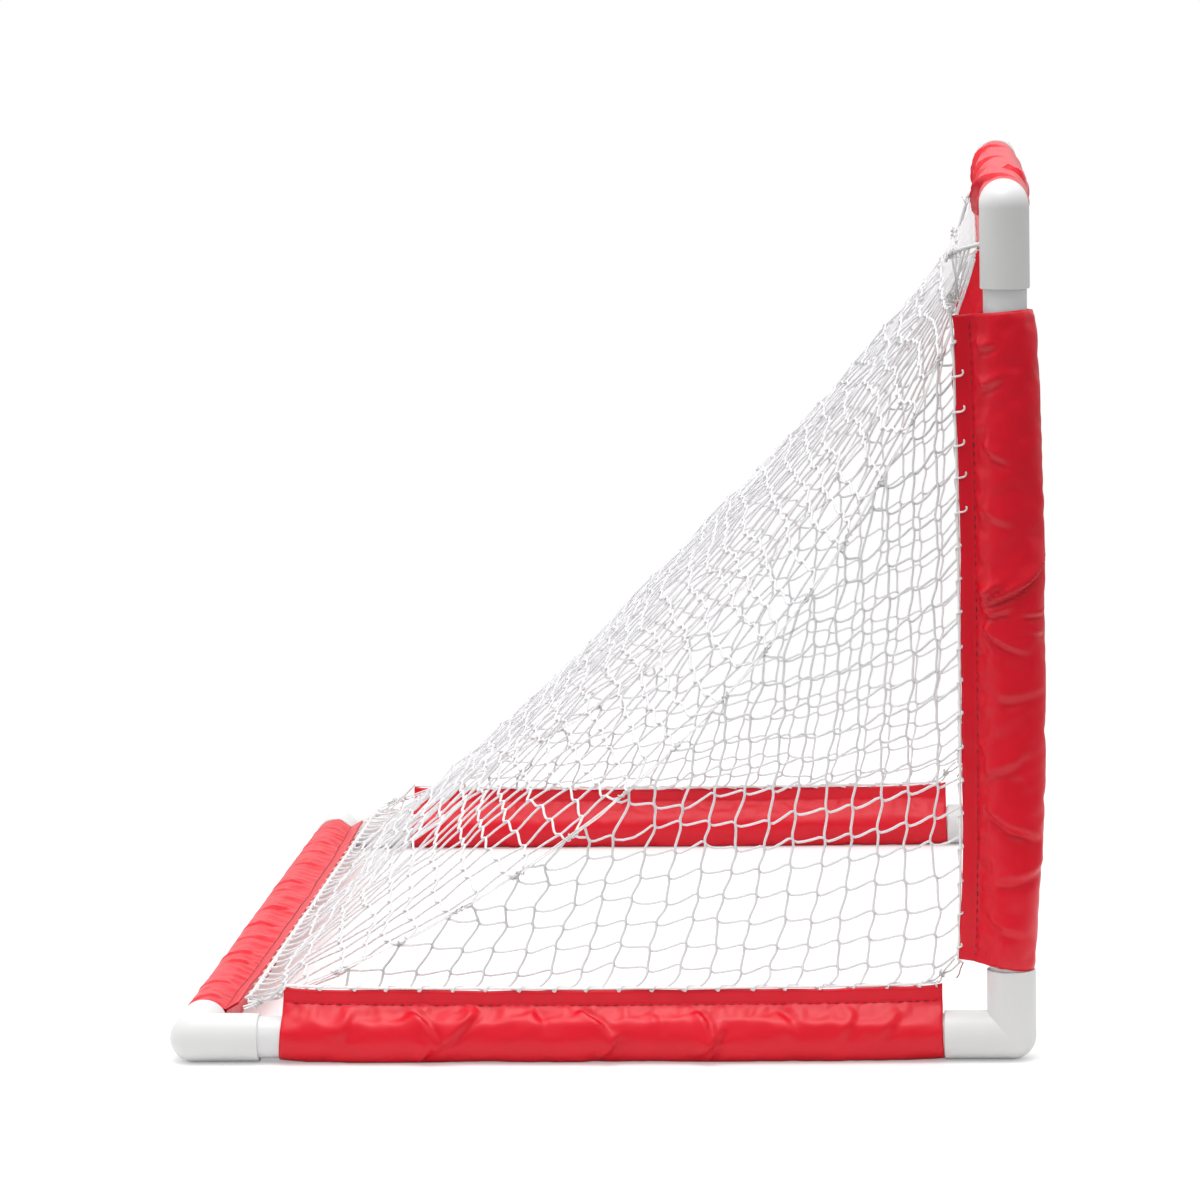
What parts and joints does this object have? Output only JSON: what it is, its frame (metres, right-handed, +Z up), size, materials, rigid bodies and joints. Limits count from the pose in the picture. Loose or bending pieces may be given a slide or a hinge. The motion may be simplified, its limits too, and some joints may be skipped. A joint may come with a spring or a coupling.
{
  "type": "hockey goal net",
  "caption": "Small free-standing goal: push-fit plastic tube frame with cloth sleeves and a sloping laced net.",
  "frame": {"origin": "on the floor, in the middle of the goal's width and of its depth", "axes": "+X along the crossbar to the right-hand post as a player facing the mouth sees it, +Y from the mouth to the rear bar, +Z up"},
  "size_m": [0.711, 0.5094, 0.5094],
  "materials": {
    "tube_plastic": "satin extruded white plastic",
    "elbow_plastic": "satin moulded white plastic",
    "red_cloth": "thin woven nylon with a soft sheen",
    "net_twine": "white knotless netting twine",
    "white_cord": "white twisted cord"
  },
  "bodies": {
    "root": {"back_net": "net_twine", "crossbar_rope": "white_cord", "crossbar_sleeve": "red_cloth", "crossbar_tube": "tube_plastic", "left_base_rope": "white_cord", "left_base_sleeve": "red_cloth", "left_base_tube": "tube_plastic", "left_front_elbow": "elbow_plastic", "left_front_tie": "white_cord", "left_rear_elbow": "elbow_plastic", "left_rear_tie": "white_cord", "left_seam_cord": "white_cord", "left_side_net": "net_twine", "left_top_elbow": "elbow_plastic", "left_top_tie": "white_cord", "left_upright_rope": "white_cord", "left_upright_sleeve": "red_cloth", "left_upright_tube": "tube_plastic", "rear_bar_rope": "white_cord", "rear_bar_sleeve": "red_cloth", "rear_bar_tube": "tube_plastic", "right_base_rope": "white_cord", "right_base_sleeve": "red_cloth", "right_base_tube": "tube_plastic", "right_front_elbow": "elbow_plastic", "right_front_tie": "white_cord", "right_rear_elbow": "elbow_plastic", "right_rear_tie": "white_cord", "right_seam_cord": "white_cord", "right_side_net": "net_twine", "right_top_elbow": "elbow_plastic", "right_top_tie": "white_cord", "right_upright_rope": "white_cord", "right_upright_sleeve": "red_cloth", "right_upright_tube": "tube_plastic"}
  },
  "joints": []
}
